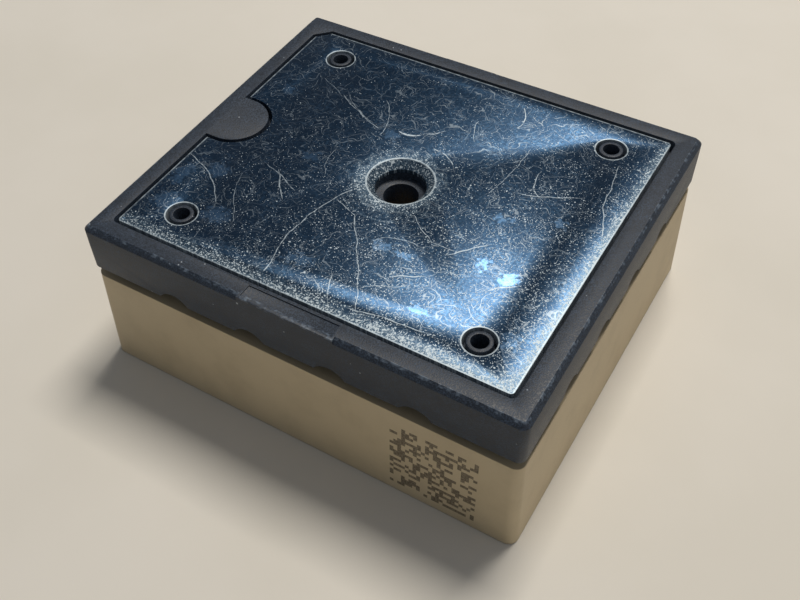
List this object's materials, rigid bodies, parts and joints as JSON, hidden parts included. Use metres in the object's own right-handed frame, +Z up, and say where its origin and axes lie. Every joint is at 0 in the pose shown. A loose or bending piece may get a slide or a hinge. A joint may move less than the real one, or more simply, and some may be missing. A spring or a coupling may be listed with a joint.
{
  "type": "igbt module",
  "caption": "Rectangular power transistor module: moulded housing over a ceramic substrate, spring contacts inside, and a black pressure lid with an inlaid metal plate and a central screw way.",
  "frame": {"origin": "centre of the housing's foot, on the face that lies on the heat sink", "axes": "+X along the long side, +Y towards the back, away from the raised bar on the lid's rim, +Z up out of the lid"},
  "size_m": [0.06, 0.0524, 0.0232],
  "materials": {
    "housing_plastic": "moulded cream thermoplastic, matt",
    "lid_plastic": "moulded black glass-filled thermoplastic, fine spark texture",
    "plated_steel": "pressed steel, zinc plated, rubbed and scratched",
    "white_ceramic": "sintered alumina, matt white",
    "copper": "bonded copper foil, satin",
    "transistor_silicon": "metallised silicon, satin grey",
    "diode_silicon": "metallised silicon, satin dark grey",
    "sensor_body": "glazed black chip body",
    "bond_aluminium": "drawn aluminium wire, bright",
    "clear_gel": "soft clear silicone gel",
    "spring_wire": "silver-plated bronze spring wire, bright"
  },
  "bodies": {
    "root": {"housing": "housing_plastic", "pressure_lid": "lid_plastic", "pressure_plate": "plated_steel", "ceramic_substrate": "white_ceramic", "back_copper": "copper", "dc_plus_copper": "copper", "phase_u_copper": "copper", "phase_v_copper": "copper", "phase_w_copper": "copper", "emitter_u_copper": "copper", "emitter_v_copper": "copper", "emitter_w_copper": "copper", "signal_pads": "copper", "igbt_u_high": "transistor_silicon", "igbt_v_high": "transistor_silicon", "igbt_w_high": "transistor_silicon", "igbt_u_low": "transistor_silicon", "igbt_v_low": "transistor_silicon", "igbt_w_low": "transistor_silicon", "diode_u_high": "diode_silicon", "diode_v_high": "diode_silicon", "diode_w_high": "diode_silicon", "diode_u_low": "diode_silicon", "diode_v_low": "diode_silicon", "diode_w_low": "diode_silicon", "temperature_sensor": "sensor_body", "bond_wires_u": "bond_aluminium", "bond_wires_v": "bond_aluminium", "bond_wires_w": "bond_aluminium", "silicone_gel": "clear_gel", "springs_dc_plus": "spring_wire", "springs_emitter_u": "spring_wire", "springs_emitter_v": "spring_wire", "springs_emitter_w": "spring_wire", "springs_phase_u": "spring_wire", "springs_phase_v": "spring_wire", "springs_phase_w": "spring_wire", "springs_gate": "spring_wire", "springs_sensor": "spring_wire"}
  },
  "joints": []
}
